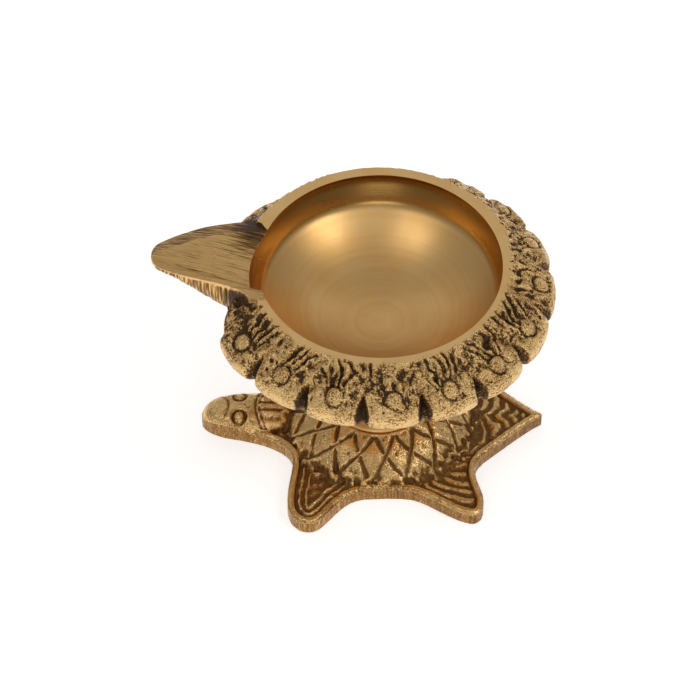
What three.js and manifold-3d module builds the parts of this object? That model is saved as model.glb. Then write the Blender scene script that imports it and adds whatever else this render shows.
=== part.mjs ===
// A brass oil lamp: a scalloped bowl with a wick spout, on a turned stem that stands on a cast
// tortoise. A threaded stud runs up the middle and a nut under the tortoise holds the stack together.
//
// Millimetres, +Z up. The tortoise stands on z = 0, its head and the spout point along -X, and the
// origin is under the middle of the whole lamp, so the stem's axis stands a little off it.

import * as THREE from "three";
import { mergeVertices } from "three/addons/utils/BufferGeometryUtils.js";
import Module from "manifold-3d";

const wasm = await Module();
wasm.setup();

// ---------------------------------------------------------------- driving dimensions

const AXIS_X = 7; // the stem's axis
const RIM_Z = 67; // the turned rim, the top of the lamp
const MOUTH_R = 32; // the rim's inner edge
const RIM_R = 35.5; // the rim's outer edge
const LIP_R = 46.5; // the scalloped lip at the middle of a lobe
const LIP_TOP_Z = 58.5;
const LIP_BOTTOM_Z = 55;
const BOSS_Z = 37; // the underside of the boss that the stem meets
const BOSS_R = 9;
const CAVITY_R = 35; // the widest part of the cavity, under the rim
const FLOOR_Z = 44.5; // the flat at the bottom of the cavity
const FLOOR_FLAT_R = 11;
const CREASE_R = 31; // where the floor meets the wall
const CREASE_Z = 56;
const LOBE_COUNT = 15; // round the lip, the spout taking the place of the rest
const LOBE_PITCH = THREE.MathUtils.degToRad(20.6);
const LOBE_NOTCH = 2.2; // how far a notch cuts into the lip
const SLOPE_R = 36; // where the slope to the lip starts
const REAR_DROOP = 4.2; // how much lower the lip hangs on the far side
const REAR_DRAW = 0.8; // how much closer to the axis it is there

const BOWL_TURN = THREE.MathUtils.degToRad(-3.5); // the spout isn't quite over the head

const SPOUT_TIP_X = -60.4;
const SPOUT_HALF_WIDTH = 11.5;
const TROUGH_DEPTH = 2.5;

const STEM_FOOT_R = 14;
const SEAT_GAP = 0.2; // between pieces that are clamped together

const EDGE_Z = 4.8; // the top of the tortoise's side wall
const SEAT_Z = 13; // the flat on top of the shell
const SHELL_RX = 27;
const SHELL_RY = 25.5;
const WALL = 3; // thickness of the tortoise casting
const CEILING_Z = 10; // the underside of the seat, where the washer bears

const STUD_R = 3;
const STUD_BOTTOM_Z = 3;
const STUD_TOP_Z = 40;
const CLEARANCE = 0.3; // between the stud and the holes it runs through
const WASHER_R = 6;
const WASHER_T = 1;
const NUT_FLATS = 10;
const NUT_T = 4.5;

const ROUND = 64; // sides of a turned surface
const OVER = 1; // how far a cutting solid runs past what it cuts

// ---------------------------------------------------------------- colours

const brass = (color, roughness) =>
  new THREE.MeshStandardMaterial({ color, roughness, metalness: 1 });
const CAST_BRASS = brass(0xa8803f, 0.45);
const TURNED_BRASS = brass(0xc9a057, 0.25);
const PLAIN_BRASS = brass(0xb08d4a, 0.35);

// ---------------------------------------------------------------- solids from three.js geometry

// A closed three.js geometry as a manifold-3d solid, so that it can be joined and cut.
function solid(geometry) {
  const bare = geometry.index ? geometry.toNonIndexed() : geometry.clone();
  bare.deleteAttribute("normal");
  bare.deleteAttribute("uv");
  const merged = mergeVertices(bare, 1e-4);
  const mesh = new wasm.Mesh({
    numProp: 3,
    vertProperties: merged.attributes.position.array,
    triVerts: new Uint32Array(merged.index.array),
  });
  return new wasm.Manifold(mesh);
}

function geometryOf(manifold) {
  const { vertProperties, triVerts } = manifold.getMesh();
  const geometry = new THREE.BufferGeometry();
  geometry.setAttribute("position", new THREE.BufferAttribute(vertProperties, 3));
  geometry.setIndex(new THREE.BufferAttribute(triVerts, 1));
  geometry.computeVertexNormals();
  return geometry;
}

// A surface of revolution about +Z from [radius, z] points that run up the outside, ending on the axis.
function lathe(profile, sides) {
  const points = profile.map(([r, z]) => new THREE.Vector2(r, z));
  return new THREE.LatheGeometry(points, sides).rotateX(Math.PI / 2);
}

const turned = (profile, sides = ROUND) => solid(lathe(profile, sides));

const cylinder = (radius, bottom, top, sides = ROUND) =>
  turned([[0, bottom], [radius, bottom], [radius, top], [0, top]], sides);

// An outline in plan, raised from one height to another.
function raised(shape, bottom, top) {
  const extrusion = new THREE.ExtrudeGeometry(shape, {
    depth: top - bottom,
    bevelEnabled: false,
    curveSegments: 10,
  });
  return solid(extrusion.translate(0, 0, bottom));
}

// An outline drawn in x and z, carried across from y = -halfWidth to +halfWidth.
function acrossY(shape, halfWidth) {
  const extrusion = new THREE.ExtrudeGeometry(shape, {
    depth: 2 * halfWidth,
    bevelEnabled: false,
    curveSegments: 10,
  });
  return solid(extrusion.rotateX(Math.PI / 2).translate(0, halfWidth, 0));
}

// ---------------------------------------------------------------- bowl

// How far round the rear an angle lies: 1 straight behind, 0 all along the front.
const rearward = (angle) => Math.max(0, Math.sin(angle)) ** 2;

// The casting isn't quite true: its lip hangs lower and closer in behind than in front.
function droopBehind(geometry) {
  const position = geometry.attributes.position;
  for (let i = 0; i < position.count; i++) {
    const [x, y] = [position.getX(i), position.getY(i)];
    const r = Math.hypot(x, y);
    const share = rearward(Math.atan2(y, x)) * Math.max(0, (r - SLOPE_R) / (LIP_R - SLOPE_R));
    const drawn = 1 - (REAR_DRAW * share) / Math.max(r, SLOPE_R);
    position.setXYZ(i, x * drawn, y * drawn, position.getZ(i) - REAR_DROOP * share);
  }
  return geometry;
}

// The casting before its lip is scalloped: the slope and lip, hollow underneath, that hang from the
// rim round a deep bowl, and the boss that the stem meets.
function bowlBlank() {
  const blank = lathe([
    [0, BOSS_Z],
    [BOSS_R, BOSS_Z],
    [BOSS_R, 40.5],
    [16, 41.6],
    [25, 44.8],
    [31.4, 49.6],
    [35.8, 55.4],
    [38, 58.4],
    [41.4, 57.4],
    [LIP_R - 1, LIP_BOTTOM_Z],
    [LIP_R, LIP_BOTTOM_Z],
    [LIP_R, LIP_TOP_Z],
    [43.5, 60.6],
    [39.5, 63.4],
    [36.5, 65.8],
    [RIM_R, RIM_Z],
    [0, RIM_Z],
  ], 3 * LOBE_COUNT);
  return solid(droopBehind(blank));
}

// The lip's outline in plan: round lobes that meet at notches, and a plain arc behind the spout.
function scallopedOutline() {
  const shape = new THREE.Shape();
  const steps = 6;
  const half = (LOBE_COUNT * LOBE_PITCH) / 2;
  for (let i = 0; i <= LOBE_COUNT * steps; i++) {
    const across = ((i % steps) / steps) * 2 - 1;
    const angle = -half + (i / steps) * LOBE_PITCH;
    const r = LIP_R - LOBE_NOTCH * Math.abs(across) ** 2.5 - REAR_DRAW * rearward(angle);
    shape[i ? "lineTo" : "moveTo"](r * Math.cos(angle), r * Math.sin(angle));
  }
  shape.absarc(0, 0, LIP_R - LOBE_NOTCH, half, 2 * Math.PI - half, false);
  return shape;
}

// The spout seen from above: a leaf that springs from the rim and narrows to a round tip.
function spoutOutline() {
  const root = -24;
  const shape = new THREE.Shape();
  shape.moveTo(root, -SPOUT_HALF_WIDTH - 3);
  shape.lineTo(root, SPOUT_HALF_WIDTH + 3);
  shape.lineTo(-33, SPOUT_HALF_WIDTH + 3);
  shape.bezierCurveTo(-38, 13.4, -46, 11.6, -53, 8.2);
  shape.bezierCurveTo(-57, 6.2, SPOUT_TIP_X, 2.8, SPOUT_TIP_X, 0);
  shape.bezierCurveTo(SPOUT_TIP_X, -3, -57.5, -4.9, -53, -6.5);
  shape.bezierCurveTo(-46, -8.6, -38, -10.4, -33, -SPOUT_HALF_WIDTH - 2.2);
  return shape;
}

// The spout seen from the side: a level top, and a keel that runs down from the tip to the bowl.
function spoutSide() {
  const shape = new THREE.Shape();
  shape.moveTo(-24, RIM_Z);
  shape.lineTo(SPOUT_TIP_X, RIM_Z);
  shape.lineTo(SPOUT_TIP_X, RIM_Z - 2.5);
  shape.bezierCurveTo(-54, 63, -47, 60, -43, 54);
  shape.lineTo(-24, 50);
  return shape;
}

// The trough that the wick lies in: a wide channel, deepest where it leaves the cavity.
function trough() {
  const length = 27;
  const section = new THREE.Shape();
  section.moveTo(-9.5, OVER);
  section.quadraticCurveTo(-6, -TROUGH_DEPTH, 0, -TROUGH_DEPTH);
  section.quadraticCurveTo(6, -TROUGH_DEPTH, 9.5, OVER);
  const channel = new THREE.ExtrudeGeometry(section, {
    depth: length,
    bevelEnabled: false,
    curveSegments: 8,
  });
  // The extrusion is laid along -X, and narrows and rises until it ends at the tip.
  channel.rotateX(Math.PI / 2).rotateZ(-Math.PI / 2);
  const position = channel.attributes.position;
  for (let i = 0; i < position.count; i++) {
    const along = -position.getX(i) / length;
    position.setY(i, position.getY(i) * (1 - 0.7 * along));
    position.setZ(i, position.getZ(i) + TROUGH_DEPTH * along);
  }
  return solid(channel.translate(-31, 0, RIM_Z));
}

// The round floor meets the wall in a crease, and the wall swells out under the rim.
function cavity() {
  return turned([
    [0, FLOOR_Z],
    [FLOOR_FLAT_R, FLOOR_Z],
    [18, 46.9],
    [25, 50.8],
    [CREASE_R, CREASE_Z],
    [33.8, 58.6],
    [CAVITY_R, 61.5],
    [CAVITY_R, 63.5],
    [33.8, 65.6],
    [MOUTH_R, 66.2],
    [MOUTH_R, RIM_Z + OVER],
    [0, RIM_Z + OVER],
  ]);
}

function bowl() {
  const spout = raised(spoutOutline(), 48, RIM_Z)
    .intersect(acrossY(spoutSide(), 2 * SPOUT_HALF_WIDTH));
  return bowlBlank()
    .intersect(raised(scallopedOutline(), BOSS_Z - OVER, RIM_Z + OVER))
    .add(spout)
    .subtract(trough())
    .subtract(cavity())
    .subtract(cylinder(STUD_R, BOSS_Z - OVER, STUD_TOP_Z + OVER, 24));
}

// ---------------------------------------------------------------- stem

// A turned baluster: a bevelled foot, one bulb, and a collar that carries the bowl.
function stem() {
  const foot = SEAT_Z + SEAT_GAP;
  const top = BOSS_Z - SEAT_GAP;
  const bore = cylinder(STUD_R + CLEARANCE, foot - OVER, top + OVER, 24);
  return turned([
    [0, foot],
    [STEM_FOOT_R, foot],
    [STEM_FOOT_R, 14.4],
    [12.4, 15.6],
    [8.2, 17],
    [6.4, 19],
    [6.2, 20.5],
    [8.4, 22.2],
    [9.4, 24.5],
    [8.4, 26.8],
    [6.2, 28.5],
    [5.8, 31],
    [7, 33.4],
    [BOSS_R, 34.8],
    [BOSS_R, top],
    [0, top],
  ], 48).subtract(bore);
}

// ---------------------------------------------------------------- tortoise

// The whole animal from above: head towards -X, four flippers, and a pointed tail towards +X.
function tortoiseOutline() {
  const side = new THREE.Path();
  side.moveTo(-49.2, 0);
  side.bezierCurveTo(-49.2, -5, -45, -6.8, -37, -7.6);
  side.bezierCurveTo(-31, -8.4, -24, -10, -23.6, -16);
  side.bezierCurveTo(-23.6, -21, -25.2, -25, -24.9, -31);
  side.bezierCurveTo(-24.6, -37, -19, -40, -15.5, -36);
  side.bezierCurveTo(-11, -31, -9, -26.3, -3, -26);
  side.lineTo(9, -26);
  side.bezierCurveTo(14, -27.4, 19, -33, 24.5, -34.6);
  side.bezierCurveTo(28, -35.6, 29.4, -31, 27.6, -26);
  side.bezierCurveTo(26, -21, 25.4, -17.6, 29, -14);
  side.lineTo(44.6, -1.6);
  side.quadraticCurveTo(45.6, -0.8, 45.6, 0);
  const near = side.getPoints(8);
  const far = near.slice(1, -1).reverse().map(({ x, y }) => new THREE.Vector2(x, -y));
  return new THREE.Shape([...near, ...far]);
}

// A dome with an oval plan that rises from the side wall to the flat that the stem stands on.
function shellDome(shrink, top) {
  const points = [[0, 0], [1, 0], [1, 0.32], [0.97, 0.44], [0.86, 0.66], [0.72, 0.86], [0.56, 1], [0, 1]];
  const profile = points.map(([r, z]) => new THREE.Vector2(r, z * top));
  const dome = new THREE.LatheGeometry(profile, 48).rotateX(Math.PI / 2);
  return solid(dome.scale(SHELL_RX - shrink, SHELL_RY - shrink, 1));
}

// The head is a rounded wedge over the neck, higher than the flippers.
function head() {
  const ball = new THREE.SphereGeometry(1, 20, 12);
  return solid(ball.scale(13, 7, 4.8).translate(-35.5, 0, 3.2));
}

function tortoise() {
  const outline = tortoiseOutline();
  const body = raised(outline, 0, EDGE_Z);
  const aboveGround = raised(outline, 0, SEAT_Z);
  const hollow = shellDome(WALL, CEILING_Z).translate([0, 0, -0.001]);
  return body
    .add(shellDome(0, SEAT_Z).intersect(aboveGround))
    .add(head().intersect(aboveGround))
    .subtract(hollow)
    .subtract(cylinder(STUD_R + CLEARANCE, CEILING_Z - OVER, SEAT_Z + OVER, 24));
}

// ---------------------------------------------------------------- stud, washer and nut

const stud = () => cylinder(STUD_R - 0.05, STUD_BOTTOM_Z, STUD_TOP_Z, 24);

const WASHER_TOP_Z = CEILING_Z - SEAT_GAP;
const NUT_TOP_Z = WASHER_TOP_Z - WASHER_T - SEAT_GAP;

function washer() {
  const bottom = WASHER_TOP_Z - WASHER_T;
  const hole = cylinder(STUD_R + CLEARANCE, bottom - OVER, WASHER_TOP_Z + OVER, 24);
  return cylinder(WASHER_R, bottom, WASHER_TOP_Z, 36).subtract(hole);
}

function nut() {
  const bottom = NUT_TOP_Z - NUT_T;
  const corners = NUT_FLATS / 2 / Math.cos(Math.PI / 6);
  const hole = cylinder(STUD_R, bottom - OVER, NUT_TOP_Z + OVER, 24);
  return cylinder(corners, bottom, NUT_TOP_Z, 6).subtract(hole);
}

// ---------------------------------------------------------------- the lamp

function piece(name, manifold, material) {
  const mesh = new THREE.Mesh(geometryOf(manifold), material);
  mesh.name = name;
  return mesh;
}

const turnedBowl = piece("bowl", bowl(), CAST_BRASS);
turnedBowl.rotation.z = BOWL_TURN;

const lamp = new THREE.Group();
lamp.add(
  turnedBowl,
  piece("stem", stem(), TURNED_BRASS),
  piece("tortoise", tortoise(), CAST_BRASS),
  piece("stud", stud(), PLAIN_BRASS),
  piece("washer", washer(), PLAIN_BRASS),
  piece("nut", nut(), PLAIN_BRASS),
);

// The pieces are drawn about the stem's axis.
lamp.position.x = AXIS_X;

export default lamp;
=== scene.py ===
"""A brass diya: an ornamented bowl with a wick spout, on a turned stem and a cast tortoise.

Shapes are worked out in millimetres about the stem's axis and made into meshes in metres. The
tortoise's head and the spout point along -X.
"""

import itertools
import math

import bpy
import numpy as np
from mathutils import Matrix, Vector


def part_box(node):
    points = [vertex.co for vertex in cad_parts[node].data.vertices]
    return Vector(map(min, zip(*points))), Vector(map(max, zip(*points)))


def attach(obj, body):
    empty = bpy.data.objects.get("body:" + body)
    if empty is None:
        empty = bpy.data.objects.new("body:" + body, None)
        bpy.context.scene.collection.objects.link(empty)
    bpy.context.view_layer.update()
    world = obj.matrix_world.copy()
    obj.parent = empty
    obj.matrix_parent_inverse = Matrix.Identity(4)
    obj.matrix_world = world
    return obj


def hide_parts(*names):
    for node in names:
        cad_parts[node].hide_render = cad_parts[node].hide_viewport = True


bl_info = {
    "name": "Brass Tortoise Diya",
    "version": (1, 0, 0),
    "blender": (4, 5, 0),
    "location": "3D View > Sidebar > Diya",
    "description": "Builds a cast brass oil lamp on a tortoise",
    "category": "Add Mesh",
}

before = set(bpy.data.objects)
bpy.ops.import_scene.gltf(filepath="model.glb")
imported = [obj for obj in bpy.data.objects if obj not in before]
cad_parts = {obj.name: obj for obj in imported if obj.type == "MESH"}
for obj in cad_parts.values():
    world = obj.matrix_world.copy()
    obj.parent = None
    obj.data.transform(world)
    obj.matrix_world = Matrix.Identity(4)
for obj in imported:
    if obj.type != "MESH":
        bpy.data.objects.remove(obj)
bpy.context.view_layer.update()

MM = 0.001
BOWL_LOW, BOWL_HIGH = (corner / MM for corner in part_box("bowl"))
STEM_LOW, STEM_HIGH = (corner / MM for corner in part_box("stem"))
BASE_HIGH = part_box("tortoise")[1] / MM
STUD_LOW, STUD_HIGH = (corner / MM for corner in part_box("stud"))
WASHER_LOW, WASHER_HIGH = (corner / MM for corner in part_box("washer"))
NUT_LOW, NUT_HIGH = (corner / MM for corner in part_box("nut"))

AXIS = (STEM_LOW + STEM_HIGH) / 2
BOWL_TURN = math.radians(-3.5)
BASE_BODY = "base"
LAMP_BODY = "lamp"
FULL_TURN = 2 * math.pi


# ------------------------------------------------------------------ sizes and colours


class DiyaSizes(bpy.types.PropertyGroup):
    """The lamp's sizes, in metres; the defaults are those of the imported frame."""

    lip_radius: bpy.props.FloatProperty(
        name="Lip radius", description="Radius of the scalloped lip at the middle of a lobe",
        default=(BOWL_HIGH.x - AXIS.x + 0.05) * MM, unit="LENGTH")
    lobes: bpy.props.IntProperty(
        name="Lobes", description="Lobes round the lip, without the spout's share",
        default=15, min=3)
    lobe_pitch: bpy.props.FloatProperty(
        name="Lobe pitch", description="Angle from one lobe to the next",
        default=math.radians(20.6), unit="ROTATION")
    shell_grooves: bpy.props.IntProperty(
        name="Shell grooves", description="Grooves of each slant round the tortoise's shell",
        default=17, min=4)
    thread_pitch: bpy.props.FloatProperty(
        name="Thread pitch", description="Pitch of the stud's thread",
        default=0.001, unit="LENGTH")


def colour_setting(name, description, default):
    return bpy.props.FloatVectorProperty(
        name=name, description=description, default=default, subtype="COLOR", min=0, max=1)


class DiyaColours(bpy.types.PropertyGroup):
    """The colours of the brass and of the patina in its hollows; the patina colour also paints
    shade on the spout.
    """

    turned: colour_setting("Turned brass", "Inside the bowl and on the stem", (0.86, 0.54, 0.215))
    cast: colour_setting("Cast brass", "The worn high places of the castings", (0.90, 0.60, 0.26))
    patina: colour_setting(
        "Patina", "The dark brown left in grooves and pits", (0.085, 0.046, 0.020))
    floor: colour_setting(
        "Floor", "The pale surface that the lamp stands on", (0.92, 0.92, 0.92))


def sizes():
    return bpy.context.scene.diya_sizes


def colours():
    return bpy.context.scene.diya_colours


# ------------------------------------------------------------------ numbers over arrays


def smoothstep(low, high, x):
    t = np.clip((x - low) / (high - low), 0, 1)
    return t * t * (3 - 2 * t)


def bell(x, width):
    """1 where x is 0, falling away to nothing past about twice the width."""
    return np.exp(-((x / width) ** 2))


def beside(angle, degrees, width):
    """A bell about one direction round the stem's axis."""
    return bell((angle % FULL_TURN) - math.radians(degrees), width)


def rearward(angle):
    """1 straight behind, 0 at the sides and in front."""
    return np.maximum(np.sin(angle), 0) ** 2


def round_angles(columns):
    return np.linspace(0, FULL_TURN, columns, endpoint=False)


def spatial(x, y, z=0.0):
    """Points from coordinates of shapes that broadcast."""
    return np.stack(np.broadcast_arrays(x, y, z), -1)


def polar(radius, angle, height=0.0):
    return spatial(radius * np.cos(angle), radius * np.sin(angle), height)


def curve_through(knots):
    """A smooth function through (x, y) knots that doesn't overshoot them."""
    x, y = (np.array(column, float) for column in zip(*knots))
    step = np.diff(x)
    slope = np.diff(y) / step
    tangent = np.zeros(len(x))
    same = slope[:-1] * slope[1:] > 0
    tangent[1:-1][same] = 2 * (slope[:-1] * slope[1:])[same] / (slope[:-1] + slope[1:])[same]
    tangent[0], tangent[-1] = slope[0], slope[-1]

    def at(value):
        value = np.clip(value, x[0], x[-1])
        i = np.clip(np.searchsorted(x, value, side="right") - 1, 0, len(x) - 2)
        t = (value - x[i]) / step[i]
        from_start = (1 + 2 * t) * (1 - t) ** 2 * y[i] + t * (1 - t) ** 2 * step[i] * tangent[i]
        to_end = t * t * (3 - 2 * t) * y[i + 1] + t * t * (t - 1) * step[i] * tangent[i + 1]
        return from_start + to_end

    return at


def profile_points(corners, spacing, fillet=0.4):
    """Points along a (radius, height) outline, evenly spaced, its corners rounded a little."""
    corners = np.array(corners, float)
    lengths = np.linalg.norm(np.diff(corners, axis=0), axis=1)
    along = np.concatenate([[0], np.cumsum(lengths)])
    count = max(int(along[-1] / spacing), 8)
    even = np.linspace(0, along[-1], count + 1)
    points = np.stack([np.interp(even, along, corners[:, k]) for k in (0, 1)], -1)
    for _ in range(int((fillet / spacing) ** 2) + 1):
        points[1:-1] += 0.25 * (points[:-2] + points[2:] - 2 * points[1:-1])
    return points


def noise(points, size, seed):
    """Smooth noise from -1 to 1 over an array of points, with bumps about size across."""
    cells = points / size
    corner = np.floor(cells).astype(np.int64)
    part = cells - corner
    part = part * part * (3 - 2 * part)
    total = np.zeros(points.shape[:-1])
    for offset in itertools.product((0, 1), repeat=3):
        at = corner + offset
        key = at[..., 0] * 73856093 ^ at[..., 1] * 19349663 ^ at[..., 2] * 83492791
        key = (key ^ seed * 2654435761) & 0xFFFFFFFF
        key = ((key ^ key >> 15) * 2246822519) & 0xFFFFFFFF
        key = ((key ^ key >> 13) * 3266489917) & 0xFFFFFFFF
        value = (key ^ key >> 16) / 0x7FFFFFFF - 1
        total += value * np.prod(np.where(offset, part, 1 - part), -1)
    return total


def pits(points, size, share, seed):
    """1 in scattered pits that cover about that share of the surface, 0 between them."""
    return smoothstep(0, 0.25, noise(points, size, seed) - 0.75 + share)


def hollowness(height, reach):
    """How far each point of a height grid lies below its surroundings, wrapping round columns."""
    blurred = height
    for _ in range(2):
        for axis in (0, 1):
            total = np.zeros_like(blurred)
            for k in range(-reach, reach + 1):
                if axis == 1:
                    total += np.roll(blurred, k, 1)
                else:
                    rows = np.clip(np.arange(len(blurred)) + k, 0, len(blurred) - 1)
                    total += blurred[rows]
            blurred = total / (2 * reach + 1)
    return blurred - height


# ------------------------------------------------------------------ meshes


def to_frame(points, turn=0.0):
    """Millimetres about the stem's axis to metres in the row frame, turned about that axis."""
    c, s = math.cos(turn), math.sin(turn)
    x = c * points[..., 0] - s * points[..., 1] + AXIS.x
    y = s * points[..., 0] + c * points[..., 1] + AXIS.y
    return np.stack([x, y, points[..., 2]], -1) * MM


def in_scene(name, data):
    """A new object with this data, linked to the scene."""
    thing = bpy.data.objects.new(name, data)
    bpy.context.scene.collection.objects.link(thing)
    return thing


def new_piece(name, points, faces, material, darkening=None):
    """A smooth-shaded object of these points and faces, with its patina and painted shade kept per
    point.
    """
    mesh = bpy.data.meshes.new(name)
    mesh.from_pydata(points.reshape(-1, 3).tolist(), [], faces)
    mesh.materials.append(material)
    mesh.shade_smooth()
    piece = in_scene(name, mesh)
    if darkening is not None:
        mark(piece, "patina", np.clip(darkening, 0, 1))
    return piece


def wrapped_grid(name, points, material, darkening=None, loop=False, turn=0.0):
    """A closed mesh from rows of points that go round. The rows join into a loop, or the first
    and the last row each close to a point."""
    rows, columns = points.shape[:2]
    index = np.arange(rows * columns).reshape(rows, columns)
    below, above = (index, np.roll(index, -1, 0)) if loop else (index[:-1], index[1:])
    quads = np.stack([below, np.roll(below, -1, 1), np.roll(above, -1, 1), above], -1)
    faces = quads.reshape(-1, 4).tolist()
    points = to_frame(points, turn)
    if not loop:
        poles = np.stack([points[0].mean(0), points[-1].mean(0)])
        first, last = rows * columns, rows * columns + 1
        near, far = index[0].tolist(), index[-1].tolist()
        faces += [[near[(i + 1) % columns], near[i], first] for i in range(columns)]
        faces += [[far[i], far[(i + 1) % columns], last] for i in range(columns)]
        points = np.concatenate([points.reshape(-1, 3), poles])
        if darkening is not None:
            darkening = np.concatenate([darkening.ravel(), [darkening[0].mean(), darkening[-1].mean()]])
    return faces_out(new_piece(name, points, faces, material, darkening))


def turned(name, corners, material, columns, spacing, loop=False, patina=0.0, fillet=0.4):
    """A solid of revolution about the stem's axis; its outline runs up the outside."""
    points = profile_points(corners, spacing, fillet)
    if loop:
        points = points[:-1]
    grid = polar(points[:, :1], round_angles(columns), points[:, 1:])
    darkening = np.full(grid.shape[:2], patina)
    return wrapped_grid(name, grid, material, darkening, loop)


def mark(piece, name, values):
    """Keeps one number per point of a piece's mesh for its finish to read."""
    kept = piece.data.attributes.new(name, "FLOAT", "POINT")
    kept.data.foreach_set("value", values.ravel().astype(np.float32))


def faces_out(piece):
    """Turns the faces of a closed mesh outwards."""
    mesh = piece.data
    mesh.calc_loop_triangles()
    triangles = mesh.loop_triangles
    corners = np.zeros(len(triangles) * 3, np.int32)
    triangles.foreach_get("vertices", corners)
    points = np.zeros(len(mesh.vertices) * 3, np.float32)
    mesh.vertices.foreach_get("co", points)
    a, b, c = points.reshape(-1, 3)[corners.reshape(-1, 3)].transpose(1, 0, 2)
    if np.einsum("ij,ij->", a, np.cross(b, c)) < 0:
        mesh.flip_normals()
    return piece


def combine(piece, other, operation):
    """Joins other to piece, or cuts it away, and removes other."""
    for part in (piece, other):
        known = part.data.attributes.get("known") or part.data.attributes.new(
            "known", "FLOAT", "POINT")
        known.data.foreach_set("value", np.ones(len(part.data.vertices), np.float32))
    cut = piece.modifiers.new(operation, "BOOLEAN")
    cut.operation = operation
    cut.object = other
    cut.solver = "MANIFOLD"
    cut.material_mode = "TRANSFER"
    keep_plain(piece)
    bpy.data.objects.remove(other)
    heal_seam(piece.data)


def heal_seam(mesh):
    """Points that a cut has made take the mean patina and painted shade of the older points beside
    them.
    """
    known = read_values(mesh, "known") > 0.99
    ends = np.zeros(len(mesh.edges) * 2, np.int32)
    mesh.edges.foreach_get("vertices", ends)
    a, b = ends.reshape(-1, 2).T
    for name in ("patina", "side"):
        if name not in mesh.attributes:
            continue
        values = read_values(mesh, name)
        total, count = np.zeros(len(known)), np.zeros(len(known))
        for here, there in ((a, b), (b, a)):
            np.add.at(total, here, values[there] * known[there])
            np.add.at(count, here, known[there])
        mended = np.where(known, values, total / np.maximum(count, 1))
        mesh.attributes[name].data.foreach_set("value", mended.astype(np.float32))


def read_values(mesh, name):
    values = np.zeros(len(mesh.vertices), np.float32)
    mesh.attributes[name].data.foreach_get("value", values)
    return values


def keep_plain(piece):
    """Bakes a piece's modifiers into its mesh."""
    graph = bpy.context.evaluated_depsgraph_get()
    mesh = bpy.data.meshes.new_from_object(piece.evaluated_get(graph))
    piece.modifiers.clear()
    old, piece.data = piece.data, mesh
    bpy.data.meshes.remove(old)
    mesh.name = piece.name
    return piece


def hand_over(piece, body, slot, *nodes, sharp=35):
    """Tells the frame what a finished piece rides on and stands for, and marks its sharp edges."""
    piece.data.set_sharp_from_angle(angle=math.radians(sharp))
    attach(piece, body)
    if nodes:
        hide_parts(*nodes)


# ------------------------------------------------------------------ shader language


def add_node(tree, kind, settings, inputs):
    """A new node with its settings made and its inputs linked or set."""
    node = tree.nodes.new(kind)
    for key, value in settings.items():
        setattr(node, key, value)
    for key, value in inputs.items():
        if isinstance(value, bpy.types.NodeSocket):
            tree.links.new(value, node.inputs[key])
        else:
            node.inputs[key].default_value = value
    return node


class Wire:
    """A shader socket that Python's operators work on, adding Math nodes as they go."""

    def __init__(self, finish, socket):
        self.finish = finish
        self.socket = socket

    def maths(self, operation, *others, clamp=False):
        settings = {"operation": operation, "use_clamp": clamp}
        inputs = dict(enumerate((self, *others)))
        return self.finish.add("ShaderNodeMath", settings, inputs)

    def __add__(self, other):
        return self.maths("ADD", other)

    def __sub__(self, other):
        return self.maths("SUBTRACT", other)

    def __rsub__(self, other):
        return self.finish.add("ShaderNodeMath", {"operation": "SUBTRACT"}, {0: other, 1: self})

    def __mul__(self, other):
        return self.maths("MULTIPLY", other)

    __radd__ = __add__
    __rmul__ = __mul__

    def clamped(self):
        return self.maths("ADD", 0.0, clamp=True)

    def most(self, other):
        return self.maths("MAXIMUM", other)


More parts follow.
